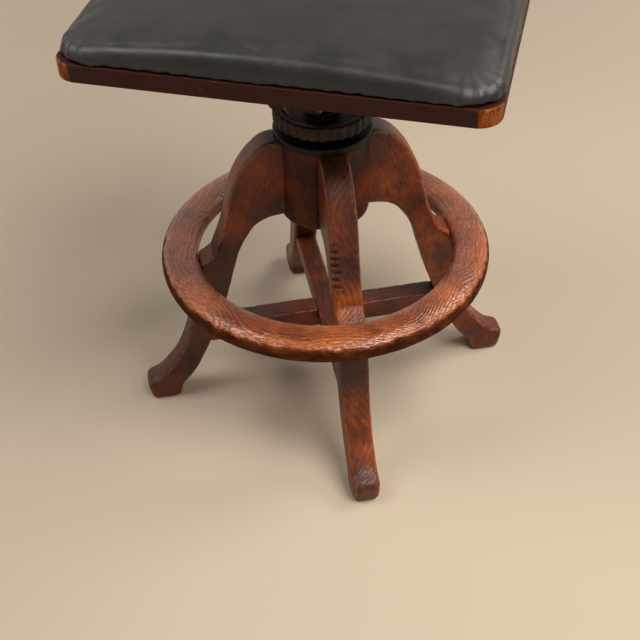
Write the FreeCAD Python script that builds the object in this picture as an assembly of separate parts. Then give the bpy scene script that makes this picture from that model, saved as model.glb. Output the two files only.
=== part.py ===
# Oak swivel stool: four sawn legs round a turned hub, a foot ring let into their
# shoulders, crossed stretchers, and a padded square seat carried by a screw that
# threads through a scalloped hand nut. Millimetres, +Z up, origin on the floor
# under the screw. One leg points along -Y; the seat stands turned as it is used.
import FreeCAD, Part
import math
import os
from FreeCAD import Vector

os.makedirs("parts", exist_ok=True)

# Legs and hub
leg_thick = 36.0
leg_end_depth = 11.0
toe_radius = 259.0
toe_height = 38.0
toe_round = 10.0
nose_reach = 2.0
nose_drop = 9.0
heel_radius = 214.0
heel_height = 19.0
heel_round = 7.0
foot_lean = 3.0
shoulder_start = 3.0
shoulder_drop = 11.0
shoulder_lip = 1.0
shoulder_shelf = 11.0
leg_edge_round = 3.0
hub_radius = 57.0
hub_bottom = 289.0
hub_height = 111.0
hub_edge_round = 4.0
arch_drop = 16.0
arch_reach = 39.0
arch_flat = 7.0
leg_dowel_radius = 5.0
leg_dowel_length = 48.0
leg_dowel_spacing = 46.0

# Foot ring of four sawn segments
ring_radius = 215.0
ring_width = 48.0
ring_bottom = 210.0
ring_height = 30.0
ring_round_above = 15.0
ring_round_below_inside = 12.0
ring_round_below_outside = 5.0
ring_dowel_radius = 5.0
ring_dowel_length = 56.0
ring_dowel_spacing = 20.0
ring_screw_radius = 2.75
ring_screw_length = 62.0
ring_screw_bite = 20.0

# Crossed stretchers
stretcher_top = 124.0
stretcher_width = 29.0
cross_stretcher_depth = 30.0
long_stretcher_depth = 19.0
stretcher_edge_round = 1.5
tenon_thick = 14.0
tenon_depth = 15.0
tenon_length = 14.0

# Cast socket in the hub
flange_radius = 61.0
flange_thick = 9.0
socket_bore = 22.0
socket_wall = 5.0
socket_length = 84.0
flange_screw_circle = 43.0
flange_screw_radius = 2.5
flange_screw_length = 34.0
screw_slot_width = 1.2

# Hand nut
washer_thick = 1.5
nut_rim_radius = 60.5
nut_rim_height = 17.0
nut_rim_wall = 9.5
nut_lobes = 32
nut_lobe_round = 4.0
nut_hollow_share = 0.62
nut_neck_radius = 34.0
nut_neck_height = 8.5
nut_web_thick = 5.0
nut_boss_radius = 22.0
nut_boss_height = 8.0
nut_spigot_length = 33.0
running_clearance = 0.05
free_clearance = 0.3
tool_margin = 1.0

# Screw with a square-cut thread
screw_radius = 14.0
thread_depth = 2.8
thread_pitch = 8.0
thread_root_width = 5.2
thread_crest_width = 3.2
thread_clearance = 0.4
lift_up = 96.0
lift_down = 24.0
lift_margin = 1.0
stop_washer_thick = 4.0
stop_washer_radius = 18.0
screw_tip_radius = 8.0
screw_tip_length = 15.0
stop_pin_radius = 2.0
stop_pin_inset = 2.0
screw_shank_radius = 12.5

# Cast seat iron with four arms
iron_clearance = 3.0
iron_boss_radius = 26.0
iron_boss_share = 0.5
iron_boss_cover = 8.0
iron_arm_share = 0.3135
iron_arm_width = 56.0
iron_flange_thick = 5.0
iron_keel_width = 14.0
iron_keel_drop = 8.0
iron_bend_inner = 115.0
iron_bend_outer = 150.0
iron_bend_radius = 24.0
iron_pad_margin = 21.0
iron_pin_radius = 3.0
iron_pin_height = 8.0
iron_screw_radius = 2.5
iron_screw_length = 20.0
iron_screw_spread = 17.0
iron_screw_edge = 11.0

# Seat
seat_width = 447.0
seat_depth = 430.0
seat_thick = 20.0
seat_underside = 555.5
seat_corner = 25.0
seat_edge_round = 2.0
edge_strip = 9.5
seat_turn = -25.3
pad_inset = 1.5
pad_corner = 38.0
pad_height = 40.0
pad_crown_radius = 1700.0
pad_edge_round = 11.0
leather_thick = 1.6
leather_turn_in = 22.0
pad_board_thick = 8.0
pad_screw_radius = 2.25
pad_screw_x = 130.0
pad_screw_y = 125.0

# Levels and radii that follow from the sizes above
hub_top = hub_bottom + hub_height
flange_top = hub_top + flange_thick
washer_top = flange_top + washer_thick
rim_bottom = washer_top + nut_neck_height
rim_top = rim_bottom + nut_rim_height
spigot_bottom = flange_top - nut_spigot_length
ring_inner = ring_radius - ring_width
ring_top = ring_bottom + ring_height
ring_middle = ring_radius - ring_width / 2
screw_root = screw_radius - thread_depth
screw_shoulder = spigot_bottom - lift_up - lift_margin
iron_bottom = rim_top + lift_down + iron_clearance
iron_rise = seat_underside - iron_bottom
iron_boss_height = iron_boss_share * iron_rise
arm_top = iron_bottom + iron_arm_share * iron_rise
iron_pad_end = seat_depth / 2 - iron_pad_margin
screw_shank_length = iron_boss_height - iron_boss_cover
seat_top = seat_underside + seat_thick
leather_under = seat_top + leather_thick

UP = Vector(0, 0, 1)
HERE = Vector(0, 0, 0)


def save(name, *solids):
    """Write one node, or a group of like solids, to its own file."""
    shape = solids[0] if len(solids) == 1 else Part.makeCompound(list(solids))
    shape.exportStep("parts/" + name + ".step")


def turned(shape, degrees):
    copy = shape.copy()
    copy.rotate(HERE, UP, degrees)
    return copy


def rod(radius, length, start, direction):
    return Part.makeCylinder(radius, length, start, direction)


def tube(outer, inner, height, bottom):
    outside = rod(outer, height, Vector(0, 0, bottom), UP)
    return outside.cut(rod(inner, height, Vector(0, 0, bottom), UP))


def lathe(edges, degrees=360):
    """Turn a closed outline of edges in the XZ plane round the Z axis."""
    face = Part.Face(Part.Wire(Part.__sortEdges__(edges)))
    return face.revolve(HERE, UP, degrees)


def line(a, b):
    return Part.LineSegment(a, b).toShape()


def arc(a, middle, b):
    return Part.Arc(a, middle, b).toShape()


def curve(points, start, end):
    """A smooth edge through the points, with its direction at both ends."""
    spline = Part.BSplineCurve()
    spline.interpolate(Points=points, InitialTangent=start, FinalTangent=end)
    return spline.toShape()


def point(reach, level):
    """A point of a leg's or an arm's outline, in the plane that it is sawn from."""
    return Vector(reach, 0, level)


def between(a, b, along, fall):
    """The point at these fractions of the way across and down from a to b."""
    return point(a.x + along * (b.x - a.x), a.z + fall * (b.z - a.z))


def corner_arc(centre, radius, start, end):
    """An arc round a centre in the XZ plane, by its two angles in degrees."""
    places = []
    for angle in (start, (start + end) / 2, end):
        turn = math.radians(angle)
        places.append(centre + Vector(radius * math.cos(turn), 0, radius * math.sin(turn)))
    return arc(*places)


def wood_screw(tip_radius, head_radius, length, head, direction):
    """A slotted flat-head screw: its head's face is at the point given."""
    cone = head_radius - tip_radius
    screw = Part.makeCone(head_radius, tip_radius, cone, head, direction)
    taper = 2 * tip_radius
    shank = length - cone - taper
    screw = screw.fuse(rod(tip_radius, shank, head + direction * cone, direction))
    tip = Part.makeCone(tip_radius, tip_radius / 3, taper, head + direction * (cone + shank), direction)
    return screw.fuse(tip)


def slotted(screw, head_radius, head, direction, across):
    """Cut the driver's slot in a screw's head, running along 'across'."""
    slot = Part.makeBox(4 * head_radius, screw_slot_width, screw_slot_width)
    slot.translate(Vector(-2 * head_radius, -screw_slot_width / 2, 0))
    side = direction.cross(across)
    frame = FreeCAD.Matrix(across.x, side.x, direction.x, head.x,
                           across.y, side.y, direction.y, head.y,
                           across.z, side.z, direction.z, head.z)
    return screw.cut(slot.transformGeometry(frame))


def rounded_slab(width, depth, corner, bottom, thick):
    """A level slab with round corners, centred on the axis."""
    slab = Part.makeBox(width, depth, thick, Vector(-width / 2, -depth / 2, bottom))
    upright = [e for e in slab.Edges if abs(e.Vertexes[0].Z - e.Vertexes[1].Z) > thick / 2]
    return slab.makeFillet(corner, upright)


def leg_outline():
    """The outline of one leg as it is sawn from the plank, hub end to toe."""
    end = hub_radius - leg_end_depth
    end_bottom = hub_bottom + hub_edge_round
    start = point(hub_radius + shoulder_start, hub_top)
    tip = point(ring_inner + shoulder_lip, ring_top - shoulder_drop)
    shelf = point(ring_inner + shoulder_shelf, ring_bottom)
    instep = point(toe_radius - toe_round, toe_height)
    nose = point(toe_radius + nose_reach, toe_height - nose_drop)
    nose_round = between(instep, nose, 0.68, 0.34)
    toe = point(toe_radius - foot_lean, 0)
    heel = point(heel_radius, 0)
    heel_top = point(heel_radius - foot_lean, heel_height)
    heel_curve = point(heel_top.x - heel_round, heel_height + heel_round)
    arch_start = point(hub_radius + arch_flat, end_bottom)
    arch_end = point(hub_radius + arch_reach, end_bottom - arch_drop)
    arch_middle = between(arch_start, arch_end, 0.56, 0.31)

    shoulder = [between(start, tip, *at) for at in
                ((0.26, 0.07), (0.465, 0.24), (0.60, 0.465), (0.71, 0.745), (0.805, 0.895))]
    shin = [between(shelf, instep, *at) for at in
            ((0.085, 0.235), (0.17, 0.47), (0.30, 0.645), (0.50, 0.808), (0.757, 0.93))]
    calf = [between(arch_end, heel_curve, *at) for at in
            ((0.102, 0.068), (0.269, 0.267), (0.435, 0.50), (0.62, 0.70), (0.815, 0.888))]

    return [
        line(point(end, end_bottom), point(end, hub_top)),
        line(point(end, hub_top), start),
        curve([start] + shoulder + [tip], Vector(60, 0, 0), Vector(30, 0, -18)),
        line(tip, point(tip.x, ring_bottom)),
        line(point(tip.x, ring_bottom), shelf),
        curve([shelf] + shin + [instep], Vector(8, 0, -60), Vector(40, 0, -6)),
        arc(instep, nose_round, nose),
        line(nose, toe),
        line(toe, heel),
        line(heel, heel_top),
        line(heel_top, heel_curve),
        curve([arch_end] + calf + [heel_curve], Vector(12, 0, -18), Vector(26, 0, -30)),
        arc(arch_start, arch_middle, arch_end),
        line(point(end, end_bottom), arch_start),
    ]


def leg_blank():
    """One leg along +X, sawn to its outline, with its long edges eased."""
    face = Part.Face(Part.Wire(Part.__sortEdges__(leg_outline())))
    face.translate(Vector(0, -leg_thick / 2, 0))
    blank = face.extrude(Vector(0, leg_thick, 0))
    eased = []
    for edge in blank.Edges:
        middle = edge.valueAt((edge.FirstParameter + edge.LastParameter) / 2)
        on_side = abs(abs(middle.y) - leg_thick / 2) < 0.01
        straight_along = all(abs(abs(v.Y) - leg_thick / 2) < 0.01 for v in edge.Vertexes)
        clear_of_hub = middle.x > hub_radius + tool_margin
        beyond_ring = middle.x > ring_inner + shoulder_shelf + free_clearance
        clear_of_ring = beyond_ring or middle.x < ring_inner - free_clearance
        if on_side and straight_along and clear_of_hub and clear_of_ring:
            eased.append(edge)
    return blank.makeFillet(leg_edge_round, eased)


def ring_section():
    """The foot ring's section: broad round shoulders above, smaller ones below."""
    inner, outer, low, high = ring_inner, ring_radius, ring_bottom, ring_top
    above, inside, outside = ring_round_above, ring_round_below_inside, ring_round_below_outside
    return [
        line(point(inner + above, high), point(outer - above, high)),
        corner_arc(point(outer - above, high - above), above, 90, 0),
        line(point(outer, high - above), point(outer, low + outside)),
        corner_arc(point(outer - outside, low + outside), outside, 0, -90),
        line(point(outer - outside, low), point(inner + inside, low)),
        corner_arc(point(inner + inside, low + inside), inside, -90, -180),
        line(point(inner, low + inside), point(inner, high - above)),
        corner_arc(point(inner + above, high - above), above, 180, 90),
    ]


def ring_segment():
    """A quarter of the ring, centred on +X."""
    return turned(lathe(ring_section(), 90), -45)


def ring_dowel_pair():
    """Two dowels across the joint between segments, here at the joint on +X."""
    level = ring_bottom + ring_height / 2
    pair = []
    for side in (-0.5, 0.5):
        start = Vector(ring_middle + side * ring_dowel_spacing, -ring_dowel_length / 2, level)
        pair.append(rod(ring_dowel_radius, ring_dowel_length, start, Vector(0, 1, 0)))
    return pair


def ring_screw():
    """The screw through a leg's inner face into the ring, along +X."""
    level = (ring_bottom + ring_top - shoulder_drop) / 2
    head = Vector(ring_inner + ring_screw_bite - ring_screw_length, 0, level)
    along = Vector(1, 0, 0)
    head_radius = 2 * ring_screw_radius
    screw = wood_screw(ring_screw_radius, head_radius, ring_screw_length, head, along)
    sink = rod(head_radius, ring_inner - hub_radius, head, -along)
    return slotted(screw, head_radius, head, along, UP), screw.fuse(sink)


def leg_dowels():
    """Two dowels from a leg's end into the hub, along +X."""
    start = hub_radius - leg_end_depth - leg_dowel_length / 3
    middle = hub_bottom + hub_height / 2
    pair = []
    for side in (-0.5, 0.5):
        low = Vector(start, 0, middle + side * leg_dowel_spacing)
        pair.append(rod(leg_dowel_radius, leg_dowel_length, low, Vector(1, 0, 0)))
    return pair


def stretcher(depth, legs):
    """A bar along X with its top at the common level, coped to the legs' inner faces."""
    reach = ring_inner
    bar = Part.makeBox(2 * reach, stretcher_width, depth,
                       Vector(-reach, -stretcher_width / 2, stretcher_top - depth))
    long_edges = [e for e in bar.Edges if abs(e.Vertexes[0].X - e.Vertexes[1].X) > reach]
    bar = bar.makeFillet(stretcher_edge_round, long_edges)
    for leg in legs:
        bar = bar.cut(leg)
    bar = max(bar.Solids, key=lambda solid: solid.Volume)
    shoulder = bar.BoundBox.XMax
    middle = stretcher_top - depth / 2
    tenon = Part.makeBox(2 * (shoulder + tenon_length), tenon_thick, tenon_depth,
                         Vector(-shoulder - tenon_length, -tenon_thick / 2, middle - tenon_depth / 2))
    return bar, tenon


def make_base():
    """Legs, hub, stretchers, foot ring and cast socket, with what joins them."""
    names = ("right", "back", "left", "front")
    angles = (0, 90, 180, 270)
    blanks = [turned(leg_blank(), angle) for angle in angles]
    segments = [turned(ring_segment(), angle) for angle in angles]

    cross_bar, cross_tenon = stretcher(cross_stretcher_depth, (blanks[0], blanks[2]))
    sides = [turned(blank, -90) for blank in (blanks[1], blanks[3])]
    long_bar, long_tenon = stretcher(long_stretcher_depth, sides)
    long_bar, long_tenon = turned(long_bar, 90), turned(long_tenon, 90)
    lap_depth = long_stretcher_depth / 2
    lap = Part.makeBox(stretcher_width, stretcher_width, lap_depth,
                       Vector(-stretcher_width / 2, -stretcher_width / 2, stretcher_top - lap_depth))
    cross_bar = cross_bar.cut(lap)
    long_bar = long_bar.cut(cross_bar).fuse(long_tenon.cut(cross_bar))
    long_bar = max(long_bar.Solids, key=lambda solid: solid.Volume)
    cross_bar = cross_bar.fuse(cross_tenon.cut(long_bar))
    cross_bar = max(cross_bar.Solids, key=lambda solid: solid.Volume)

    hub = lathe([
        line(point(0, hub_bottom), point(hub_radius - hub_edge_round, hub_bottom)),
        corner_arc(point(hub_radius - hub_edge_round, hub_bottom + hub_edge_round), hub_edge_round, -90, 0),
        line(point(hub_radius, hub_bottom + hub_edge_round), point(hub_radius, hub_top)),
        line(point(hub_radius, hub_top), point(0, hub_top)),
        line(point(0, hub_top), point(0, hub_bottom)),
    ])
    socket_radius = socket_bore + socket_wall
    hub = hub.cut(rod(socket_radius, socket_length, Vector(0, 0, hub_top - socket_length), UP))
    hub = hub.cut(rod(socket_bore, hub_height, Vector(0, 0, hub_bottom), UP))

    socket = lathe([
        line(point(socket_bore, hub_top - socket_length), point(socket_radius, hub_top - socket_length)),
        line(point(socket_radius, hub_top - socket_length), point(socket_radius, hub_top)),
        line(point(socket_radius, hub_top), point(flange_radius, hub_top)),
        line(point(flange_radius, hub_top), point(flange_radius, flange_top - flange_thick / 4)),
        corner_arc(point(flange_radius - flange_thick / 4, flange_top - flange_thick / 4),
                   flange_thick / 4, 0, 90),
        line(point(flange_radius - flange_thick / 4, flange_top), point(socket_bore, flange_top)),
        line(point(socket_bore, flange_top), point(socket_bore, hub_top - socket_length)),
    ])

    flange_screws = []
    head_radius = 2 * flange_screw_radius
    down = Vector(0, 0, -1)
    for angle in (45, 135, 225, 315):
        turn = math.radians(angle)
        across = Vector(math.cos(turn), math.sin(turn), 0)
        head = across * flange_screw_circle + Vector(0, 0, flange_top)
        screw = wood_screw(flange_screw_radius, head_radius, flange_screw_length, head, down)
        hub = hub.cut(screw)
        socket = socket.cut(screw)
        flange_screws.append(slotted(screw, head_radius, head, down, across))

    ring_dowels, hub_dowels, ring_screws, legs = [], [], [], []
    for number, angle in enumerate(angles):
        leg = blanks[number].cut(segments[number])
        leg = leg.cut(cross_bar).cut(long_bar)
        leg_pair = [turned(dowel, angle) for dowel in leg_dowels()]
        screw, screw_room = [turned(shape, angle) for shape in ring_screw()]
        for dowel in leg_pair:
            leg = leg.cut(dowel)
            hub = hub.cut(dowel)
        leg = leg.cut(screw_room)
        segments[number] = segments[number].cut(screw_room)
        hub = hub.cut(blanks[number])
        legs.append(leg)
        hub_dowels += leg_pair
        ring_screws.append(screw)
        ring_dowels += [turned(dowel, angle + 45) for dowel in ring_dowel_pair()]

    for number, name in enumerate(names):
        segment = segments[number]
        for dowel in ring_dowels:
            segment = segment.cut(dowel)
        save("leg_" + name, legs[number])
        save("foot_ring_" + name, segment)
    save("hub_column", hub)
    save("hub_dowels", *hub_dowels)
    save("cross_stretcher", cross_bar)
    save("long_stretcher", long_bar)
    save("foot_ring_dowels", *ring_dowels)
    save("foot_ring_screws", *ring_screws)
    save("socket", socket)
    save("flange_screws", *flange_screws)


def thread_ridge(root, crest, root_width, crest_width, start, length):
    """A right-hand ridge wound up the Z axis; its foot is sunk in the core."""
    helix = Part.makeHelix(thread_pitch, length, root)
    helix.translate(Vector(0, 0, start))
    sunk = root - thread_depth / 4
    outline = [point(sunk, start - root_width / 2), point(crest, start - crest_width / 2),
               point(crest, start + crest_width / 2), point(sunk, start + root_width / 2)]
    profile = Part.makePolygon(outline + outline[:1])
    return Part.Wire(helix.Edges).makePipeShell([profile], True, True)


def make_hand_nut():
    """The scalloped hand nut that the screw threads through, and its washer."""
    bore = screw_root + thread_clearance
    rim_inner = nut_rim_radius - nut_rim_wall
    turned_radius = nut_rim_radius + tool_margin
    web_top = rim_bottom + nut_web_thick
    boss_top = web_top + nut_boss_height
    spigot = socket_bore - running_clearance
    outline = [point(bore, spigot_bottom), point(spigot, spigot_bottom), point(spigot, washer_top),
               point(nut_neck_radius, washer_top), point(nut_neck_radius, rim_bottom),
               point(turned_radius, rim_bottom), point(turned_radius, rim_top - nut_lobe_round)]
    shoulder = point(turned_radius - nut_lobe_round, rim_top - nut_lobe_round)
    inside = [point(shoulder.x, rim_top), point(rim_inner, rim_top), point(rim_inner, web_top),
              point(nut_boss_radius, web_top), point(nut_boss_radius, boss_top),
              point(bore, boss_top), point(bore, spigot_bottom)]
    edges = [line(a, b) for a, b in zip(outline, outline[1:])]
    edges.append(corner_arc(shoulder, nut_lobe_round, 0, 90))
    edges += [line(a, b) for a, b in zip(inside, inside[1:])]
    nut = lathe(edges)

    # The rim's grip: a ring of upright half-round lobes that meet in sharp hollows
    step = 2 * math.pi / nut_lobes
    lobe = nut_rim_radius * math.sin(step / 2)
    hollow = nut_rim_radius - nut_hollow_share * lobe
    grip_bottom = spigot_bottom - nut_lobe_round
    scallops = []
    for number in range(nut_lobes):
        turn = number * step
        places = []
        for radius, angle in ((hollow, turn - step / 2), (nut_rim_radius, turn), (hollow, turn + step / 2)):
            places.append(Vector(radius * math.cos(angle), radius * math.sin(angle), grip_bottom))
        scallops.append(arc(*places))
    grip = Part.Face(Part.Wire(scallops)).extrude(Vector(0, 0, rim_top + nut_lobe_round - grip_bottom))
    nut = nut.common(grip)

    # Half a turn round, so that the groove's seams keep clear of the bore's
    turns_below = math.floor((spigot_bottom - screw_shoulder) / thread_pitch)
    groove_start = screw_shoulder + thread_pitch * (turns_below - 1 / 2)
    groove = thread_ridge(screw_root, screw_radius + thread_clearance,
                          thread_root_width + 2 * thread_clearance,
                          thread_crest_width + 2 * thread_clearance,
                          groove_start, boss_top - groove_start + thread_pitch)
    groove = turned(groove, 180)
    save("hand_nut", nut.cut(groove))
    save("thrust_washer", tube(nut_neck_radius - tool_margin, socket_bore + free_clearance, washer_thick, flange_top))


def make_screw():
    """The seat's screw, with the washer and pin that stop it coming out."""
    # The seat stands turned, so its screw's thread starts lower to stay in step with the nut
    thread_start = screw_shoulder + thread_pitch * (1 + seat_turn / 360)
    thread_top = iron_bottom - thread_root_width
    core = rod(screw_root, iron_bottom - screw_shoulder, Vector(0, 0, screw_shoulder), UP)
    collar = rod(screw_radius, thread_root_width / 2, Vector(0, 0, iron_bottom - thread_root_width / 2), UP)
    shank = rod(screw_shank_radius, screw_shank_length, Vector(0, 0, iron_bottom), UP)
    tip = rod(screw_tip_radius, screw_tip_length, Vector(0, 0, screw_shoulder - screw_tip_length), UP)
    ridge = thread_ridge(screw_root, screw_radius, thread_root_width, thread_crest_width,
                         thread_start, thread_top - thread_start)
    screw = core.fuse([collar, shank, tip, ridge])

    washer_bottom = screw_shoulder - stop_washer_thick
    along = Vector(1, 0, 0)
    pin_length = 2 * (stop_washer_radius - stop_pin_inset)
    pin = rod(stop_pin_radius, pin_length,
              Vector(-pin_length / 2, 0, washer_bottom - stop_pin_radius - running_clearance), along)
    cross = math.radians(45)
    across = Vector(math.cos(cross), math.sin(cross), 0)
    start = Vector(0, 0, iron_bottom + iron_pin_height) - across * iron_boss_radius
    iron_pin = rod(iron_pin_radius, 2 * iron_boss_radius, start, across)
    return screw.cut(pin).cut(iron_pin), pin, iron_pin


def iron_arm():
    """One arm of the seat iron along +X: a flat strap with a rounded keel below it."""
    path_points = [point(0, arm_top), point(iron_bend_inner, arm_top),
                   point(iron_bend_outer, seat_underside), point(iron_pad_end, seat_underside)]
    path = rounded_path(path_points, iron_bend_radius)
    half, keel = iron_arm_width / 2, iron_keel_width / 2
    low = -iron_flange_thick - iron_keel_drop
    flow = iron_keel_drop
    across = [(half, 0), (half, -iron_flange_thick), (keel + flow, -iron_flange_thick)]

    def place(y, z):
        return Vector(0, y, arm_top + z)

    edges = [line(place(-half, 0), place(half, 0))]
    for side in (1, -1):
        rim = [place(side * y, z) for y, z in across]
        edges += [line(rim[0], rim[1]), line(rim[1], rim[2])]
        waist = place(side * keel, -iron_flange_thick - flow / 2)
        belly = place(side * (keel + 0.3 * flow), -iron_flange_thick - 0.15 * flow)
        edges.append(arc(rim[2], belly, waist))
        edges.append(line(waist, place(side * keel, low + keel)))
    edges.append(arc(place(keel, low + keel), place(0, low), place(-keel, low + keel)))
    section = Part.Wire(Part.__sortEdges__(edges))
    return path.makePipeShell([section], True, False, 2)


def rounded_path(points, radius):
    """Straight runs through the points, with every corner turned on a radius."""
    edges, last = [], points[0]
    for before, here, after in zip(points, points[1:], points[2:]):
        inward = (before - here).normalize()
        outward = (after - here).normalize()
        half_turn = math.acos(-inward.dot(outward)) / 2
        back = radius * math.tan(half_turn)
        middle = (inward + outward).normalize() * (radius / math.cos(half_turn) - radius)
        edges.append(line(last, here + inward * back))
        edges.append(arc(here + inward * back, here + middle, here + outward * back))
        last = here + outward * back
    edges.append(line(last, points[-1]))
    return Part.Wire(edges)


def make_seat_iron():
    """The cast iron under the seat, bored for the screw's shank."""
    boss = rod(iron_boss_radius, iron_boss_height, Vector(0, 0, iron_bottom), UP)
    arms = [turned(iron_arm(), angle) for angle in (0, 90, 180, 270)]
    iron = boss.fuse(arms)
    iron = iron.cut(rod(screw_shank_radius, screw_shank_length, Vector(0, 0, iron_bottom), UP))

    screws = []
    reach = iron_pad_end - iron_screw_edge
    for angle in (0, 90, 180, 270):
        for side in (-1, 1):
            head = Vector(reach, side * iron_screw_spread, seat_underside - iron_flange_thick)
            screw = wood_screw(iron_screw_radius, 2 * iron_screw_radius, iron_screw_length, head, UP)
            iron = iron.cut(turned(screw, angle))
            screws.append((turned(screw, angle), turned(slotted(
                screw, 2 * iron_screw_radius, head, UP, Vector(0, 1, 0)), angle)))
    return iron, screws


def pad_form(inset, bottom):
    """The pad's outer form, crowned above and round at its upper edge."""
    width = seat_width - 2 * (pad_inset + inset)
    depth = seat_depth - 2 * (pad_inset + inset)
    top = seat_top + pad_height - inset
    form = rounded_slab(width, depth, pad_corner - inset, bottom, top - bottom + tool_margin)
    crown = Part.makeSphere(pad_crown_radius, Vector(0, 0, top - pad_crown_radius))
    form = form.common(crown)
    rim = [edge for edge in form.Edges if edge.BoundBox.ZMin > bottom + tool_margin]
    return form.makeFillet(pad_edge_round - inset, rim)


def make_seat():
    """Seat board with its edge strips, iron and screw, and the leather pad on it."""
    board = rounded_slab(seat_width, seat_depth, seat_corner, seat_underside, seat_thick)
    rims = [edge for edge in board.Edges if edge.BoundBox.ZLength < 0.01]
    board = board.makeFillet(seat_edge_round, rims)
    core_width, core_depth = seat_width - 2 * edge_strip, seat_depth - 2 * edge_strip
    core_room = Part.makeBox(core_width, core_depth, seat_thick,
                             Vector(-core_width / 2, -core_depth / 2, seat_underside))
    across_room = Part.makeBox(core_width, seat_depth, seat_thick,
                               Vector(-core_width / 2, -seat_depth / 2, seat_underside))
    core = board.common(core_room)
    side_strips = sorted(board.cut(across_room).Solids, key=lambda solid: solid.CenterOfMass.x)
    end_strips = sorted(board.common(across_room).cut(core_room).Solids,
                        key=lambda solid: solid.CenterOfMass.y)

    cover = pad_form(0, seat_top)
    filling = pad_form(leather_thick, leather_under)
    opening = rounded_slab(seat_width - 2 * leather_turn_in, seat_depth - 2 * leather_turn_in,
                           pad_corner / 2, seat_top, leather_thick)
    cover = cover.cut(filling).cut(opening)
    board_top = leather_under + pad_board_thick
    board_room = Part.makeBox(2 * seat_width, 2 * seat_depth, pad_board_thick,
                              Vector(-seat_width, -seat_depth, leather_under))
    pad_board = filling.common(board_room)
    stuffing = filling.cut(board_room)

    iron, iron_screws = make_seat_iron()
    for screw, _ in iron_screws:
        core = core.cut(screw)
    pad_screws = []
    length = board_top - seat_underside - pad_board_thick / 4
    for x in (-pad_screw_x, pad_screw_x):
        for y in (-pad_screw_y, pad_screw_y):
            head = Vector(x, y, seat_underside)
            screw = wood_screw(pad_screw_radius, 2 * pad_screw_radius, length, head, UP)
            core = core.cut(screw)
            pad_board = pad_board.cut(screw)
            pad_screws.append(slotted(screw, 2 * pad_screw_radius, head, UP, Vector(1, 0, 0)))

    screw, stop_pin, iron_pin = make_screw()
    iron = iron.cut(iron_pin)
    pieces = {
        "seat_core": [core],
        "seat_edge_left": side_strips[:1],
        "seat_edge_right": side_strips[1:],
        "seat_edge_front": end_strips[:1],
        "seat_edge_back": end_strips[1:],
        "seat_leather": [cover],
        "seat_stuffing": [stuffing],
        "pad_board": [pad_board],
        "pad_screws": pad_screws,
        "seat_iron": [iron],
        "seat_iron_screws": [slot for _, slot in iron_screws],
        "seat_iron_pin": [iron_pin],
        "screw": [screw],
        "stop_pin": [stop_pin],
    }
    for name, solids in pieces.items():
        save(name, *[turned(solid, seat_turn) for solid in solids])
    save("stop_washer", tube(stop_washer_radius, screw_tip_radius + running_clearance,
                             stop_washer_thick, screw_shoulder - stop_washer_thick))


make_base()
make_hand_nut()
make_seat()
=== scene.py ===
import math

import bmesh
import bpy
import numpy as np
from mathutils import Matrix, Vector, noise
from mathutils.bvhtree import BVHTree


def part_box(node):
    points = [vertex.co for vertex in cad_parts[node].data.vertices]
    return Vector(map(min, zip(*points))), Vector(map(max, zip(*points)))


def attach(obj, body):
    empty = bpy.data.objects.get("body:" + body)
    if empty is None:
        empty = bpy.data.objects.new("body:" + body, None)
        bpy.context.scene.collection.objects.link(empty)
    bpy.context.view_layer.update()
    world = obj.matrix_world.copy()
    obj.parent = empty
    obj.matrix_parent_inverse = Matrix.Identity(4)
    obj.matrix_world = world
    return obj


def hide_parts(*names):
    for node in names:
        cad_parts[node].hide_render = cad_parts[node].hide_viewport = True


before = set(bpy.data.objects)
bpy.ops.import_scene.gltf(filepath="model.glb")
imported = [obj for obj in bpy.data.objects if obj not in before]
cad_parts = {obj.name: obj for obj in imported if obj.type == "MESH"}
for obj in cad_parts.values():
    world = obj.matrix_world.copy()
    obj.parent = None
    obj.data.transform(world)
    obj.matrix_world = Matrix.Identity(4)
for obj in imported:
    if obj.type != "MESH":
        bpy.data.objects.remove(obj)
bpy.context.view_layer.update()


# The four legs are sawn from one oak plank, stained dark and varnished. Hands and
# shoes have rubbed their arrises round and pale, and the front one still has the
# saw's nicks down its left arris. Each is dowelled to the hub and stands on the floor.
def paint(red, green, blue):
    """A colour as the eye names it, each part 0 to 255, for a shader's socket."""
    return [(part / 255) ** 2.2 for part in (red, green, blue)] + [1.0]


def wire(tree, kind, settings, feeds):
    """Add a shader node with its settings; its sockets take values or other nodes' outputs."""
    node = tree.nodes.new("ShaderNode" + kind)
    for name, value in settings.items():
        setattr(node, name, value)
    for socket, value in feeds.items():
        if isinstance(value, bpy.types.NodeSocket):
            tree.links.new(value, node.inputs[socket])
        else:
            node.inputs[socket].default_value = value
    return node


def reckon(tree, operation, a, b, c=0.0):
    """One step of arithmetic on numbers or other nodes' outputs."""
    feeds = {0: a, 1: b, 2: c}
    return wire(tree, "Math", {"operation": operation}, feeds).outputs[0]


def ramp_up(tree, value, start, end, low=0.0, high=1.0):
    """Rise smoothly from low to high as the value goes from start to end."""
    feeds = {"Value": value, "From Min": start, "From Max": end, "To Min": low, "To Max": high}
    return wire(tree, "MapRange", {"interpolation_type": "SMOOTHSTEP"}, feeds).outputs[0]


def blend(tree, amount, under, over):
    """Lay one colour over another by an amount from 0 to 1."""
    feeds = {0: amount, 6: under, 7: over}
    return wire(tree, "Mix", {"data_type": "RGBA"}, feeds).outputs[2]


def cloud(tree, place, stretch, detail=3.0, rough=0.55):
    """Noise on stretched coordinates; the stretch is in features a metre along each axis."""
    feeds = {"Vector": place, "Scale": stretch}
    spread = wire(tree, "Mapping", {}, feeds).outputs[0]
    feeds = {"Vector": spread, "Scale": 1.0, "Detail": detail, "Roughness": rough}
    return wire(tree, "TexNoise", {}, feeds)


def new_material(name):
    """A material with its node tree and its shader."""
    made = bpy.data.materials.new(name)
    made.use_nodes = True
    return made, made.node_tree, made.node_tree.nodes["Principled BSDF"]


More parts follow.
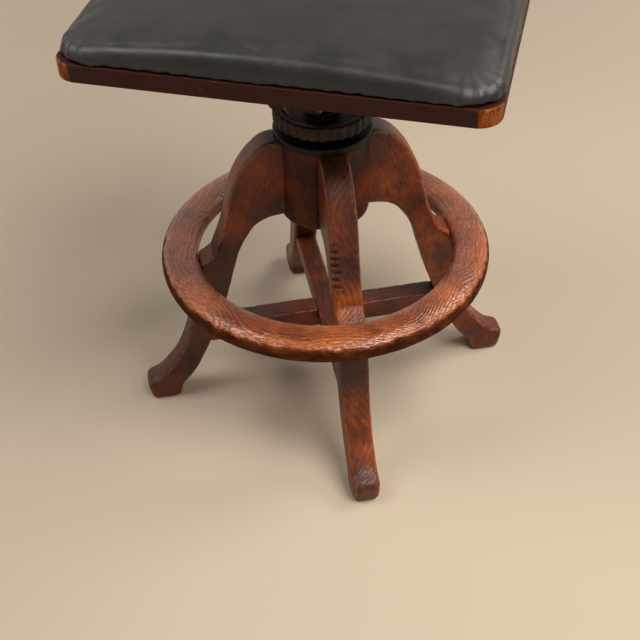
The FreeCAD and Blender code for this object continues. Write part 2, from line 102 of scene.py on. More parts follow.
def attribute(tree, name):
    """A value that the mesh's points carry."""
    return wire(tree, "Attribute", {"attribute_name": name}, {}).outputs["Fac"]


OAK_DARK, OAK_MIDDLE, OAK_LIGHT = paint(50, 17, 3), paint(122, 51, 8), paint(190, 99, 44)
END_DARK, END_LIGHT = paint(90, 38, 10), paint(168, 86, 30)
# The grime colour darkens dirty hollows and painted shade; the rubbed colour lightens rubbed wood
# and a painted highlight
OAK_PORE, OAK_RUBBED_AND_LIT, OAK_GRIME_AND_SHADE = paint(48, 20, 7), paint(212, 114, 52), paint(28, 12, 4)
YEAR_WIDTH = 0.0036


def grain_frame(tree, place, along, heart):
    """Turn coordinates so that X runs along the grain and the growth rings' heart is at zero."""
    turn = along.to_track_quat("X", "Z").inverted().to_euler()
    feeds = {"Vector": place, "Rotation": turn, "Location": heart}
    return wire(tree, "Mapping", {}, feeds).outputs[0]


def straight(along, heart):
    """The grain of a straight piece, for oak()."""
    return lambda tree, place: grain_frame(tree, place, along, heart)


def oak(name, frame_of_grain, tone=0.0, streak=0.45, ripple=0.1, wander=0.03, rub_and_light=0.45,
        satin=0.36, mottle=0.75, relief=0.35, shine=1.0, ends=None):
    """Stained oak: short dark pores and growth rings along its grain, rubbed pale on its arrises,
    with painted highlight and painted shade where its mesh carries them.
    """
    made, tree, shader = new_material(name)
    place = wire(tree, "TexCoord", {}, {}).outputs["Object"]
    grain = frame_of_grain(tree, place)

    # Growth rings, a little bent, and the pores that lie in their early wood
    drift = cloud(tree, grain, (9.0, 9.0, 9.0), 1.0, 0.5).outputs["Color"]
    feeds = {0: drift, 1: (0.0, wander, wander), 2: grain}
    bent = wire(tree, "VectorMath", {"operation": "MULTIPLY_ADD"}, feeds).outputs[0]
    feeds = {0: bent, 1: (0.06, 1.0, 1.0)}
    across = wire(tree, "VectorMath", {"operation": "MULTIPLY"}, feeds).outputs[0]
    radius = wire(tree, "VectorMath", {"operation": "LENGTH"}, {0: across}).outputs["Value"]
    year = reckon(tree, "FRACT", reckon(tree, "MULTIPLY", radius, 1 / YEAR_WIDTH), 0.0)
    early = ramp_up(tree, reckon(tree, "PINGPONG", year, 0.5), 0.12, 0.42, 1.0, 0.0)
    fibre = cloud(tree, grain, (75.0, 720.0, 720.0), 3.0).outputs[0]
    pits = cloud(tree, grain, (190.0, 1000.0, 1000.0), 2.0, 0.6).outputs[0]
    pores = ramp_up(tree, reckon(tree, "MULTIPLY_ADD", early, 0.06, pits), 0.54, 0.66)
    patch = cloud(tree, place, (17.0, 17.0, 17.0), 5.0, 0.6).outputs[0]

    # Stain, then rubbed places and painted highlight, end grain, pores, and dirt and painted shade
    # over it
    base = 0.5 - 0.5 * mottle + tone - 0.3 * streak
    shade = reckon(tree, "MULTIPLY_ADD", fibre, 0.6 * streak, base)
    shade = reckon(tree, "MULTIPLY_ADD", patch, mottle, shade)
    shade = reckon(tree, "MULTIPLY_ADD", early, -0.07 * streak, shade)
    wood = blend(tree, ramp_up(tree, shade, 0.32, 0.52), OAK_DARK, OAK_MIDDLE)
    wood = blend(tree, ramp_up(tree, shade, 0.46, 0.72), wood, OAK_LIGHT)
    scuffs = cloud(tree, grain, (90.0, 260.0, 260.0), 4.0, 0.7).outputs[0]
    wear_and_light = reckon(tree, "MULTIPLY_ADD", attribute(tree, "wear_and_light"), 0.35, scuffs)
    bare_and_lit = ramp_up(tree, wear_and_light, 0.69, 0.88)
    wood = blend(tree, reckon(tree, "MULTIPLY", bare_and_lit, rub_and_light), wood, OAK_RUBBED_AND_LIT)
    if ends:
        normal = wire(tree, "TexCoord", {}, {}).outputs["Normal"]
        feeds = {0: normal, 1: ends}
        facing = wire(tree, "VectorMath", {"operation": "DOT_PRODUCT"}, feeds).outputs["Value"]
        cut_end = ramp_up(tree, reckon(tree, "ABSOLUTE", facing, 0.0), 0.1, 0.25)
        stripe = cloud(tree, place, (420.0, 420.0, 60.0), 3.0).outputs[0]
        bright = blend(tree, ramp_up(tree, stripe, 0.35, 0.65), END_DARK, END_LIGHT)
        wood = blend(tree, cut_end, wood, bright)
    grime_and_shade = attribute(tree, "grime_and_shade")
    wood = blend(tree, reckon(tree, "MULTIPLY", pores, 0.2 + 0.5 * streak), wood, OAK_PORE)
    wood = blend(tree, reckon(tree, "MULTIPLY", grime_and_shade, 0.9), wood, OAK_GRIME_AND_SHADE)
    tree.links.new(wood, shader.inputs["Base Color"])

    # Varnish, duller in the pores and under the dirt and painted shade
    rough = reckon(tree, "MULTIPLY_ADD", patch, 0.4, satin - 0.2)
    rough = reckon(tree, "MULTIPLY_ADD", pores, 0.15 * relief, rough)
    rough = reckon(tree, "MULTIPLY_ADD", grime_and_shade, 0.25, rough)
    tree.links.new(rough, shader.inputs["Roughness"])
    shader.inputs["Specular IOR Level"].default_value = shine * max(0.1, 0.62 - 0.7 * satin)
    shader.inputs["Coat Weight"].default_value = shine * max(0.0, 0.5 - 0.95 * satin)
    shader.inputs["Coat Roughness"].default_value = 0.18

    height = reckon(tree, "MULTIPLY_ADD", pores, -0.9, reckon(tree, "MULTIPLY", fibre, 0.5))
    height = reckon(tree, "MULTIPLY", height, relief)
    height = reckon(tree, "MULTIPLY_ADD", early, -ripple, height)
    feeds = {"Height": height, "Strength": 0.8, "Distance": 0.0009}
    bumps = wire(tree, "Bump", {}, feeds).outputs[0]
    tree.links.new(bumps, shader.inputs["Normal"])
    tree.links.new(bumps, shader.inputs["Coat Normal"])
    return made


def share(value):
    """Hold a value between 0 and 1."""
    return max(0.0, min(1.0, value))


def wear_in(mesh, passes, full, dents, seed, nose_passes=0, nose_top=0.0):
    """Round a dense mesh's arrises unevenly, and store how worn or hollow each point is.

    A point that has moved in by full counts as wholly worn. The nose passes round
    what stands below nose_top further, and count for nothing in that.
    """
    shape = bmesh.new()
    shape.from_mesh(mesh)
    everything = list(shape.verts)
    before = np.array([vertex.co for vertex in everything])
    facing = np.array([vertex.normal for vertex in everything])

    def smooth(chosen):
        bmesh.ops.smooth_vert(shape, verts=chosen, factor=0.5,
                              use_axis_x=True, use_axis_y=True, use_axis_z=True)

    for _ in range(passes):
        smooth(everything)
    rubbed = np.array([vertex.co for vertex in everything])
    for number in range(nose_passes):
        top = nose_top * (1 - 0.5 * number / nose_passes)
        smooth([everything[k] for k in np.nonzero(before[:, 2] < top)[0]])
    after = np.array([vertex.co for vertex in everything])
    shape.free()

    inward = ((before - rubbed) * facing).sum(1) / full
    wear_and_light, hollow = np.clip(inward, 0, 1), np.clip(-inward, 0, 1)
    shift = np.zeros(len(before))
    spot = Vector((seed, 0, 0))
    for k in np.nonzero(wear_and_light > 0.15)[0]:
        here = Vector(before[k])
        small = max(0.0, noise.noise(here * 170 + spot) - 0.15)
        large = max(0.0, noise.noise(here * 55 + spot) - 0.2)
        shift[k] = dents * (small + large) * wear_and_light[k]
    moved = after - facing * shift[:, None]
    mesh.vertices.foreach_set("co", moved.astype(np.float32).ravel())
    for name, values in (("wear_and_light", wear_and_light), ("grime_and_shade", hollow)):
        layer = mesh.attributes.new(name, "FLOAT", "POINT")
        layer.data.foreach_set("value", values.astype(np.float32))
    mesh.update()


def dense_copy(node, name, grid):
    """The CAD piece as an even mesh of small squares, ready to be worn in."""
    shape = bmesh.new()
    shape.from_mesh(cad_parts[node].data)
    bmesh.ops.remove_doubles(shape, verts=shape.verts, dist=1e-5)
    bmesh.ops.recalc_face_normals(shape, faces=shape.faces)
    mesh = bpy.data.meshes.new(name)
    shape.to_mesh(mesh)
    shape.free()
    piece = bpy.data.objects.new(name, mesh)
    bpy.context.scene.collection.objects.link(piece)
    remesh = piece.modifiers.new("grid", "REMESH")
    remesh.mode, remesh.voxel_size, remesh.use_smooth_shade = "VOXEL", grid, True
    graph = bpy.context.evaluated_depsgraph_get()
    piece.data = bpy.data.meshes.new_from_object(piece.evaluated_get(graph))
    piece.modifiers.clear()
    return piece


def dress(piece, material, body, slot, *nodes):
    """Give a new piece its material and its body, and hide the CAD nodes that it stands for."""
    piece.data.materials.clear()
    piece.data.materials.append(material)
    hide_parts(*nodes)
    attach(piece, body)


WOOD_GRID = 0.0013
LEG_TURNS = {"right": 0, "back": 90, "left": 180, "front": 270}
LEG_SLOPE = Vector((0.42, 0, -0.91))
TOES_BELOW = 0.085
for number, (side, angle) in enumerate(LEG_TURNS.items()):
    leg = dense_copy("leg_" + side, "worn_leg_" + side, WOOD_GRID)
    wear_in(leg.data, passes=16, full=0.0007, dents=0.003, seed=3.7 * number,
            nose_passes=80, nose_top=TOES_BELOW)
    slope = Matrix.Rotation(math.radians(angle), 3, "Z") @ LEG_SLOPE
    heart = (0.0, 0.13, 0.03 + 0.02 * number)
    stain = oak("oak_leg_" + side, straight(slope, heart), tone=-0.03)
    dress(leg, stain, "base", "oak", "leg_" + side)

# Under the ring the legs are painted nearly black: painted shade where the ring's
# shadow falls, with some dirt where nothing rubs them. The feet are painted darker
# towards the floor, and the left leg carries painted shade up to the ring's top
SHADE_BOTTOM, SHADE_TOP, SHADE_INNER = 0.09, 0.212, 0.165
FOOT_DARK_TOP, LEFT_SHADE_TOP = 0.06, 0.32
for side in LEG_TURNS:
    mesh = bpy.data.objects["worn_leg_" + side].data
    for vertex, grime_and_shade_here in zip(mesh.vertices, mesh.attributes["grime_and_shade"].data):
        z = vertex.co.z + 0.012 * noise.noise(vertex.co * 40)
        outside = share((math.hypot(vertex.co.x, vertex.co.y) - SHADE_INNER) / 0.02)
        dirt_and_shade = 0.0
        # Painted shade of the ring on the legs below it, with some dirt
        if SHADE_BOTTOM < z < SHADE_TOP:
            dirt_and_shade = 0.92 * outside * share((z - SHADE_BOTTOM) / 0.07)
        # The feet are painted darker towards the floor
        if z < FOOT_DARK_TOP:
            dirt_and_shade = max(dirt_and_shade, 0.35 * min(1.0, (FOOT_DARK_TOP - z) / 0.03))
        # Painted shade on the left leg, whose side the front leg and hub keep from the light
        if side == "left" and z < LEFT_SHADE_TOP:
            dirt_and_shade = max(dirt_and_shade, 0.7 * min(1.0, (LEFT_SHADE_TOP - z) / 0.1, 0.5 + z / 0.2))
        grime_and_shade_here.value = max(grime_and_shade_here.value, dirt_and_shade)

# A saw's tooth marks run down the front leg's left arris
NICKS_BOTTOM, NICKS_TOP, NICK_PITCH = 0.256, 0.324, 0.0088
NICK_REACH, NICK_DEPTH, NICK_ROW = 0.014, Vector((0.0034, 0.0036, 0)), 0.003
ARRIS_X = -0.018
front_leg = bpy.data.objects["worn_leg_front"].data
outermost = {}
for vertex in front_leg.vertices:
    x, y, z = vertex.co
    if NICKS_BOTTOM < z < NICKS_TOP and abs(x) < 0.016:
        row = int(z / NICK_ROW)
        outermost[row] = min(outermost.get(row, 0.0), y)
for vertex, grime_and_shade_here in zip(front_leg.vertices, front_leg.attributes["grime_and_shade"].data):
    x, y, z = vertex.co
    if NICKS_BOTTOM < z < NICKS_TOP and x < -0.002:
        from_arris = math.hypot(x - ARRIS_X, 1.7 * (y - outermost[int(z / NICK_ROW)]))
        notch, rise = divmod(z / NICK_PITCH, 1)
        tooth = max(0.0, 1 - 1.7 * rise)
        reach = NICK_REACH * (1 + 0.7 * noise.noise(Vector((0, 0, notch * 3.7))))
        fade = min(1.0, (z - NICKS_BOTTOM) / 0.01, (NICKS_TOP - z) / 0.01)
        bite = tooth * max(0.0, 1 - from_arris / reach) * fade
        vertex.co += NICK_DEPTH * bite
        grime_and_shade_here.value = max(grime_and_shade_here.value, min(1.0, 2.4 * bite))


# The hub is a short oak column turned on a lathe, its grain upright. The legs' ends
# are let into it and the collar's socket is let down its middle.
hub = dense_copy("hub_column", "worn_hub", WOOD_GRID)
wear_in(hub.data, passes=9, full=0.0005, dents=0.002, seed=21.0)
hub_grain = straight(Vector((0, 0, 1)), (0.0, 0.03, 0.02))
dress(hub, oak("oak_hub", hub_grain, tone=-0.14, satin=0.5), "base", "oak", "hub_column")


# Two oak bars cross low down between the legs, halved into each other where they
# meet. The one from left to right is the deeper. Their tenons sit in the legs.
BARS = {"cross_stretcher": (1, 0, 0), "long_stretcher": (0, 1, 0)}
for number, (node, along) in enumerate(BARS.items()):
    bar = dense_copy(node, "worn_" + node, WOOD_GRID)
    wear_in(bar.data, passes=8, full=0.0005, dents=0.002, seed=31.0 + number)
    bar_grain = straight(Vector(along), (0.0, 0.09, 0.06))
    stain = oak("oak_" + node, bar_grain, tone=-0.07, streak=0.4, mottle=0.4)
    dress(bar, stain, "base", "oak", node)


# The foot ring is four oak segments joined end to end with dowels and then rounded in
# one, so that the joints hardly show. Shoes have scoured its upper edge down to the
# pores and roughened its outer face, which is also painted dark as painted shade with
# some dirt. Its front top is painted paler as a painted highlight. The legs' shoulders
# carry it.
RING_RADIUS, RING_WIDTH, RING_BOTTOM, RING_HEIGHT = 0.215, 0.048, 0.210, 0.030
RING_TURNS = {"back": 90, "right": 0, "front": -90, "left": -180}
RING_OAK = {"tone": 0.09, "streak": 0.55, "ripple": 0.3, "wander": 0.07, "rub_and_light": 0.55,
            "mottle": 0.6, "relief": 1.0}
half_width, half_height = RING_WIDTH / 2, RING_HEIGHT / 2
ring_middle, ring_level = RING_RADIUS - half_width, RING_BOTTOM + half_height


def ring_section(shape):
    """One loop in the shape of the ring's section, crowned above and flatter below."""
    loop = bmesh.ops.create_circle(shape, segments=112, radius=1.0)["verts"]
    for vertex in loop:
        across, up = vertex.co.x, vertex.co.y
        if up > 0:
            squareness = 2.15 if across > 0 else 2.5
        else:
            squareness = 3.6 if across > 0 else 2.9
        x = half_width * math.copysign(abs(across) ** (2 / squareness), across)
        z = half_height * math.copysign(abs(up) ** (2 / squareness), up)
        vertex.co = Vector((ring_middle + x, 0, ring_level + z))


def near(value, middle, width):
    """1 at the middle, and fading to nothing away from it."""
    return math.exp(-((value - middle) / width) ** 2)


def hoop_frame(tree, place, angle, radius, level):
    """Coordinates that bend with a hoop: X along it, Y out from its middle line and Z up."""
    feeds = {"Vector": place, "Rotation": (0, 0, -angle)}
    turned = wire(tree, "Mapping", {}, feeds).outputs[0]
    x, y, z = wire(tree, "SeparateXYZ", {}, {0: turned}).outputs
    swept = reckon(tree, "ADD", reckon(tree, "ARCTAN2", y, x), angle)
    squares = reckon(tree, "MULTIPLY_ADD", x, x, reckon(tree, "MULTIPLY", y, y))
    feeds = {0: reckon(tree, "MULTIPLY", swept, radius),
             1: reckon(tree, "SUBTRACT", reckon(tree, "SQRT", squares, 0.0), radius),
             2: reckon(tree, "SUBTRACT", z, level)}
    return wire(tree, "CombineXYZ", {}, feeds).outputs[0]


def hoop(angle):
    """The grain of a ring segment, for oak()."""
    turn = math.radians(angle)
    return lambda tree, place: hoop_frame(tree, place, turn, ring_middle, ring_level + 0.02)


for side, angle in RING_TURNS.items():
    shape = bmesh.new()
    wear_and_light_layer = shape.verts.layers.float.new("wear_and_light")
    grime_and_shade_layer = shape.verts.layers.float.new("grime_and_shade")
    ring_section(shape)
    start = Matrix.Rotation(math.radians(angle - 45), 4, "Z")
    bmesh.ops.transform(shape, matrix=start, verts=shape.verts)
    bmesh.ops.spin(shape, geom=list(shape.edges), cent=(0, 0, 0), axis=(0, 0, 1),
                   angle=math.radians(90), steps=240)
    open_ends = [edge for edge in shape.edges if edge.is_boundary]
    bmesh.ops.holes_fill(shape, edges=open_ends, sides=0)
    bmesh.ops.recalc_face_normals(shape, faces=shape.faces)
    facing = {vertex: Vector() for vertex in shape.verts}
    for face in shape.faces:
        face.smooth = len(face.verts) == 4
        if face.smooth:
            for vertex in face.verts:
                facing[vertex] += face.normal
    for vertex in shape.verts:
        here = vertex.co.copy()
        x, z = math.hypot(here.x, here.y) - ring_middle, here.z - ring_level
        outer_arris = near(x, 0.0185, 0.006) * share(z / 0.009)
        lower_arris = near(x, 0.0225, 0.003) * near(z, -0.011, 0.004)
        knock = max(0.0, noise.noise(here * 240) - 0.1) + max(0.0, noise.noise(here * 70) - 0.2)
        rough_face = max(0.0, x / half_width - 0.75) * 4 * max(0.0, -z / half_height + 0.2)
        inward = (0.0003 + 0.0006 * knock) * outer_arris + 0.0008 * knock * lower_arris
        inward += 0.0006 * rough_face * max(0.0, noise.noise(here * 210))
        inward += 0.0002 * (1 + noise.noise(here * 30))
        vertex.co = here - facing[vertex].normalized() * inward
        # The front top is painted paler: a painted highlight for the light that falls on it from the
        # front
        lit_front = max(0.0, -here.y / RING_RADIUS) ** 3 * max(0.0, z / half_height) ** 0.5
        scuffs_and_lit_front = 0.8 * outer_arris + 1.6 * knock * outer_arris + 0.85 * lit_front
        vertex[wear_and_light_layer] = min(1.0, scuffs_and_lit_front)
        # The outer face is painted dark: painted shade on the side turned from the lamps, with some
        # dirt
        level = z + 0.003 * noise.noise(here * 90)
        shaded_outer_face = share((x - 0.017) / 0.003) * share((0.0105 - level) / 0.005)
        vertex[grime_and_shade_layer] = min(1.0, (0.84 + 0.3 * noise.noise(here * 60)) * shaded_outer_face)
    matte = []
    for face in shape.faces:
        dirt_and_shade = sum(vertex[grime_and_shade_layer] for vertex in face.verts)
        matte.append(int(dirt_and_shade > 0.4 * len(face.verts)))
    mesh = bpy.data.meshes.new("worn_foot_ring_" + side)
    shape.to_mesh(mesh)
    shape.free()
    segment = bpy.data.objects.new("worn_foot_ring_" + side, mesh)
    bpy.context.scene.collection.objects.link(segment)
    rubbed = oak("oak_foot_ring_" + side, hoop(angle), satin=0.26, shine=1.6, **RING_OAK)
    scoured = oak("oak_foot_ring_face_" + side, hoop(angle), satin=0.55, shine=0.5, **RING_OAK)
    dress(segment, rubbed, "base", "oak", "foot_ring_" + side)
    segment.data.materials.append(scoured)
    segment.data.polygons.foreach_set("material_index", matte)


# Beech dowels join leg to hub and segment to segment, and steel screws hold the ring
# to the legs. Only the screws' slotted heads show, in the legs' inner faces.
def plain_wood(name, dark, light, along):
    """Bare or lightly finished wood with fine straight grain."""
    made, tree, shader = new_material(name)
    place = wire(tree, "TexCoord", {}, {}).outputs["Object"]
    grain = grain_frame(tree, place, along, (0.0, 0.0, 0.0))
    fibre = cloud(tree, grain, (18.0, 500.0, 500.0)).outputs[0]
    wood = blend(tree, ramp_up(tree, fibre, 0.35, 0.65), dark, light)
    tree.links.new(wood, shader.inputs["Base Color"])
    shader.inputs["Roughness"].default_value = 0.6
    feeds = {"Height": fibre, "Strength": 0.3, "Distance": 0.0003}
    tree.links.new(wire(tree, "Bump", {}, feeds).outputs[0], shader.inputs["Normal"])
    return made


def metal(name, dark, light, metallic, rough, grain):
    """Worked metal, mottled between two colours, paler where it is worn."""
    made, tree, shader = new_material(name)
    place = wire(tree, "TexCoord", {}, {}).outputs["Object"]
    mottle = cloud(tree, place, (grain, grain, grain), 4.0, 0.65).outputs[0]
    spots = cloud(tree, place, (8 * grain, 8 * grain, 8 * grain), 2.0, 0.6).outputs[0]
    handled = ramp_up(tree, attribute(tree, "wear_and_light"), 0.2, 0.9)
    amount = reckon(tree, "MAXIMUM", ramp_up(tree, mottle, 0.4, 0.68), handled)
    tree.links.new(blend(tree, amount, dark, light), shader.inputs["Base Color"])
    shader.inputs["Metallic"].default_value = metallic
    shader.inputs["Specular IOR Level"].default_value = 0.3
    dull = ramp_up(tree, mottle, 0.3, 0.7, rough - 0.1, rough + 0.12)
    tree.links.new(dull, shader.inputs["Roughness"])
    feeds = {"Height": spots, "Strength": 0.35, "Distance": 0.0004}
    tree.links.new(wire(tree, "Bump", {}, feeds).outputs[0], shader.inputs["Normal"])
    return made


def finish(material, *nodes):
    """Give CAD pieces that stay as they are one material."""
    for node in nodes:
        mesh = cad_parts[node].data
        mesh.materials.clear()
        mesh.materials.append(material)


dowel_wood = plain_wood("dowel_wood", paint(140, 102, 66), paint(184, 146, 102),
                        Vector((0, 0, 1)))
plain_steel = metal("plain_steel", paint(70, 66, 62), paint(128, 122, 114),
                    metallic=1.0, rough=0.45, grain=120.0)
finish(dowel_wood, "hub_dowels", "foot_ring_dowels")
finish(plain_steel, "foot_ring_screws", "flange_screws")


# The socket is an iron casting: a tube let down into the hub, with a flat round
# collar on top that four screws hold. The collar's edge shows as a dark plain band.
dark_iron = metal("dark_iron", paint(12, 7, 5), paint(34, 22, 14),
                  metallic=0.3, rough=0.42, grain=60.0)
finish(dark_iron, "socket")


# The hand nut is cast iron too, its rim scalloped for the grip. Hands have rubbed
# the tops of the scallops brown. It turns in the socket on a steel washer.
NUT_GRID = 0.0009
nut = dense_copy("hand_nut", "worn_hand_nut", NUT_GRID)
wear_in(nut.data, passes=6, full=0.0004, dents=0.0008, seed=61.0)
handled_iron = metal("handled_iron", paint(10, 5, 3), paint(72, 46, 24),
                     metallic=0.2, rough=0.52, grain=45.0)
dress(nut, handled_iron, "nut", "iron", "hand_nut")
finish(plain_steel, "thrust_washer")


# The screw is turned steel with a square-cut thread, greased and dark. A washer and a
# cross pin at its lower end stop it from leaving the nut.
greased_steel = metal("greased_steel", paint(34, 31, 29), paint(92, 88, 82),
                      metallic=0.9, rough=0.32, grain=80.0)
finish(greased_steel, "screw")
finish(plain_steel, "stop_washer", "stop_pin")


# The seat iron is one casting: a boss on the screw and four arms that reach up to
# flat pads under the seat, each arm a strap with a keel. Its old paint has dulled.
IRON_GRID = 0.0015
iron = dense_copy("seat_iron", "worn_seat_iron", IRON_GRID)
wear_in(iron.data, passes=6, full=0.0005, dents=0.001, seed=71.0)
iron_paint = metal("seat_iron_paint", paint(10, 6, 4), paint(48, 32, 20),
                   metallic=0.3, rough=0.5, grain=40.0)
dress(iron, iron_paint, "seat", "seat_iron", "seat_iron")
finish(plain_steel, "seat_iron_pin", "seat_iron_screws")


# The seat is an oak board with a narrow strip along each edge, rounded at its
# corners, where the side strips' end grain shows lighter. It is painted darker than
# the other oak, as painted shade on its edges.
SEAT_TURN = Matrix.Rotation(math.radians(-25.3), 3, "Z")
SEAT_GRAIN = {"seat_core": (1, 0, 0), "seat_edge_left": (0, 1, 0), "seat_edge_right": (0, 1, 0),
              "seat_edge_front": (1, 0, 0), "seat_edge_back": (1, 0, 0)}
for node, along in SEAT_GRAIN.items():
    along = SEAT_TURN @ Vector(along)
    cut_ends = None if node == "seat_core" else along
    # The low tone is painted shade: every seat piece is darkened for the shade on its edges
    finish(oak("oak_" + node, straight(along, (0.0, 0.05, 0.12)), tone=-0.24, satin=0.6,
               ends=cut_ends), node)


# The pad is black leather drawn over stuffing on a thin board, and screwed down from
# below. The stuffing crowns it, and the leather creases a little at its corners.
PAD_GRID, PAD_STEPS, PAD_SWELL = 0.009, 14, 0.006
PAD_CORNER_X, PAD_CORNER_Y, PAD_CORNER_RADIUS = 0.1835, 0.175, 0.034
PAD_DIAGONAL = 0.785


def leather(name):
    """Black leather with a fine grain, creased, and browner where it is worn."""
    made, tree, shader = new_material(name)
    place = wire(tree, "TexCoord", {}, {}).outputs["Object"]
    patch = cloud(tree, place, (22.0, 22.0, 22.0), 4.0, 0.6).outputs[0]
    grainy = wire(tree, "TexVoronoi", {}, {"Vector": place, "Scale": 900.0}).outputs["Distance"]
    creases = cloud(tree, place, (60.0, 60.0, 60.0), 5.0, 0.7).outputs[0]
    hide = blend(tree, ramp_up(tree, patch, 0.35, 0.7), paint(13, 12, 12), paint(30, 27, 25))
    rubbed = reckon(tree, "MULTIPLY", ramp_up(tree, attribute(tree, "wear_and_light"), 0.2, 0.9), 0.5)
    hide = blend(tree, rubbed, hide, paint(62, 50, 42))
    tree.links.new(hide, shader.inputs["Base Color"])
    tree.links.new(ramp_up(tree, patch, 0.3, 0.7, 0.36, 0.52), shader.inputs["Roughness"])
    height = reckon(tree, "MULTIPLY_ADD", grainy, 0.5, creases)
    feeds = {"Height": height, "Strength": 0.35, "Distance": 0.0006}
    tree.links.new(wire(tree, "Bump", {}, feeds).outputs[0], shader.inputs["Normal"])
    return made


def settled(piece, modifier):
    """Apply the one modifier that a piece has."""
    graph = bpy.context.evaluated_depsgraph_get()
    piece.data = bpy.data.meshes.new_from_object(piece.evaluated_get(graph))
    piece.modifiers.remove(modifier)


# The outside of the CAD's leather shell gives the pad its form
form = bmesh.new()
form.from_mesh(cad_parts["seat_leather"].data)
bmesh.ops.remove_doubles(form, verts=form.verts, dist=1e-5)
hull = bmesh.ops.convex_hull(form, input=form.verts)
left_over = hull["geom_interior"] + hull["geom_unused"]
inner = {item for item in left_over if isinstance(item, bmesh.types.BMVert)}
bmesh.ops.delete(form, geom=list(inner), context="VERTS")
outside = {item for item in hull["geom"] if isinstance(item, bmesh.types.BMFace)}
inside = [face for face in form.faces if face not in outside]
bmesh.ops.delete(form, geom=inside, context="FACES_ONLY")
bmesh.ops.recalc_face_normals(form, faces=form.faces)
pad_skin = BVHTree.FromBMesh(form)
pad_mesh = bpy.data.meshes.new("leather_pad")
form.to_mesh(pad_mesh)
form.free()
pad = bpy.data.objects.new("leather_pad", pad_mesh)
bpy.context.scene.collection.objects.link(pad)
remesh = pad.modifiers.new("grid", "REMESH")
remesh.mode, remesh.voxel_size, remesh.use_smooth_shade = "VOXEL", PAD_GRID, True
settled(pad, remesh)
pad_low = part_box("seat_leather")[0].z

# The stuffing presses the leather out, while its lower edge is held
at_rest = [vertex.co.copy() for vertex in pad.data.vertices]
held = pad.vertex_groups.new(name="held")
lowest = [k for k, place in enumerate(at_rest) if place.z < pad_low + 0.006]
held.add(lowest, 1.0, "REPLACE")
cloth = pad.modifiers.new("cloth", "CLOTH")
cloth.settings.quality = 3
cloth.settings.use_pressure = True
cloth.settings.uniform_pressure_force = 4.0
cloth.settings.effector_weights.gravity = 0.0
cloth.settings.shrink_min = -0.02
cloth.settings.vertex_group_mass = "held"
cloth.point_cache.frame_start, cloth.point_cache.frame_end = 1, PAD_STEPS
for number in range(1, PAD_STEPS + 1):
    bpy.context.scene.frame_set(number)
settled(pad, cloth)
bpy.context.scene.frame_set(1)
for vertex, place in zip(pad.data.vertices, at_rest):
    move = vertex.co - place
    if move.length > PAD_SWELL:
        vertex.co = place + move * (PAD_SWELL / move.length)

# The leather puckers round its corners, creases all over and meets the seat's board
finer = pad.modifiers.new("finer", "SUBSURF")
finer.levels = finer.render_levels = 2
settled(pad, finer)
seat_square = SEAT_TURN.inverted()
for vertex in pad.data.vertices:
    skin, normal, _, _ = pad_skin.find_nearest(vertex.co)
    proud = (vertex.co - skin).dot(normal)
    local = seat_square @ vertex.co
    past_x, past_y = abs(local.x) - PAD_CORNER_X, abs(local.y) - PAD_CORNER_Y
    around = math.atan2(past_y, past_x)
    at_corner = share(1 - (around - PAD_DIAGONAL) ** 2) * share(1 - (proud / 0.02) ** 2)
    fold = math.sin(around * 13 + 3 * noise.noise(vertex.co * 12)) ** 3
    crease = noise.noise(vertex.co * 38) + 0.5 * noise.noise(vertex.co * 90)
    off_corner = abs(math.hypot(past_x, past_y) - PAD_CORNER_RADIUS)
    puckered = at_corner * share(1 - off_corner / 0.02)
    height = min(max(0.5 * proud, -0.0006), 0.003) + 0.0012 * puckered * fold + 0.0004 * crease
    height += 0.0018 * share(1 - (vertex.co.z - pad_low - 0.003) / 0.008)
    vertex.co = skin + normal * height
    vertex.co.z = max(vertex.co.z, pad_low + 0.0002)
pad.data.update()
dress(pad, leather("black_leather"), "seat", "leather", "seat_leather")
raw_board = plain_wood("raw_board", paint(120, 88, 56), paint(164, 128, 88), Vector((1, 0, 0)))
hair = plain_wood("stuffing_hair", paint(84, 66, 48), paint(138, 116, 90), Vector((1, 0, 0)))
finish(raw_board, "pad_board")
finish(plain_steel, "pad_screws")
finish(hair, "seat_stuffing")


# A plain pale floor lies under a high window at the front right, with weaker ones on
# the left, on the right and low in front. The room and the far floor are paler to the
# eye, and in gloss and metal, than the light that they give the stool.
FLOOR_PAINT, ROOM_PAINT = paint(200, 184, 162), paint(236, 230, 222)
FLOOR_SEEN, ROOM_LIGHT, ROOM_SEEN = 0.9, 0.06, 0.85


def lamp(name, place, target, size, watts, colour):
    """A round soft lamp that points from its place at its target."""
    light = bpy.data.lights.new(name, "AREA")
    light.shape, light.size, light.energy, light.color = "DISK", size, watts, colour
    holder = bpy.data.objects.new(name, light)
    aim = Vector(target) - Vector(place)
    holder.location = place
    holder.rotation_euler = aim.to_track_quat("-Z", "Y").to_euler()
    bpy.context.scene.collection.objects.link(holder)


def in_sight(tree):
    """Pick out the rays that show a background, in the picture and in gloss, metal and glass."""
    ray = wire(tree, "LightPath", {}, {}).outputs
    shown = reckon(tree, "MAXIMUM", ray["Is Camera Ray"], ray["Is Glossy Ray"])
    return reckon(tree, "MAXIMUM", shown, ray["Is Transmission Ray"])


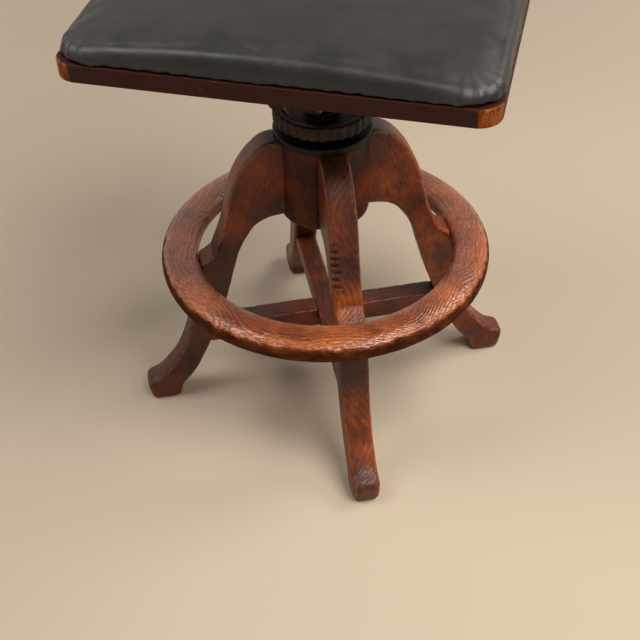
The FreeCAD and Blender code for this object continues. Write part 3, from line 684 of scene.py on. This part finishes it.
bpy.ops.mesh.primitive_plane_add(size=14.0)
floor = bpy.context.active_object
floor.name = "floor"
pale, floor_tree, floor_shader = new_material("pale_floor")
floor_shader.inputs["Base Color"].default_value = FLOOR_PAINT
floor_shader.inputs["Roughness"].default_value = 0.85
floor_place = wire(floor_tree, "TexCoord", {}, {}).outputs["Object"]
feeds = {0: floor_place}
away = wire(floor_tree, "VectorMath", {"operation": "LENGTH"}, feeds).outputs["Value"]
far_off = ramp_up(floor_tree, away, 0.8, 3.4, 0.0, FLOOR_SEEN)
far_glow = reckon(floor_tree, "MULTIPLY", far_off, in_sight(floor_tree))
floor_shader.inputs["Emission Color"].default_value = FLOOR_PAINT
floor_tree.links.new(far_glow, floor_shader.inputs["Emission Strength"])
floor.data.materials.append(pale)

lamp("window", (0.80, -1.04, 2.30), (0, 0, 0.1), 1.4, 48.0, (1.0, 0.95, 0.88))
lamp("far_window", (-1.38, 0, 2.30), (0, 0, 0.1), 1.3, 24.0, (1.0, 0.97, 0.94))
lamp("side_window", (1.7, 0.15, 1.95), (0, 0, 0.1), 1.0, 20.0, (1.0, 0.96, 0.90))
lamp("low_window", (0.35, -1.75, 2.0), (0, 0, 0.25), 0.7, 4.0, (1.0, 0.96, 0.92))
world = bpy.data.worlds.new("room")
bpy.context.scene.world = world
world.use_nodes = True
room_tree = world.node_tree
room = room_tree.nodes["Background"]
room.inputs["Color"].default_value = ROOM_PAINT
strength = ramp_up(room_tree, in_sight(room_tree), 0.0, 1.0, ROOM_LIGHT, ROOM_SEEN)
room_tree.links.new(strength, room.inputs["Strength"])


# The camera stands where the photograph's did: in front and a little to the left, a
# metre up, looking down at the foot ring and leaning very slightly.
CAMERA_PLACE = (-0.1997, -1.0532, 1.060)
pitch_down, yaw, roll = math.radians(42.16), math.radians(10.236), math.radians(-1.44)
lens = bpy.data.cameras.new("camera")
lens.lens, lens.sensor_width = 57.66, 36.0
camera = bpy.data.objects.new("camera", lens)
bpy.context.scene.collection.objects.link(camera)
ahead = Vector((math.sin(yaw) * math.cos(pitch_down), math.cos(yaw) * math.cos(pitch_down),
                -math.sin(pitch_down)))
level = Vector((math.cos(yaw), -math.sin(yaw), 0))
above = level.cross(ahead)
sideways = math.cos(roll) * level + math.sin(roll) * above
upright = -math.sin(roll) * level + math.cos(roll) * above
aim = Matrix((sideways, upright, -ahead)).transposed().to_4x4()
camera.matrix_world = Matrix.Translation(CAMERA_PLACE) @ aim
bpy.context.scene.camera = camera
bpy.context.scene.view_settings.view_transform = "Standard"
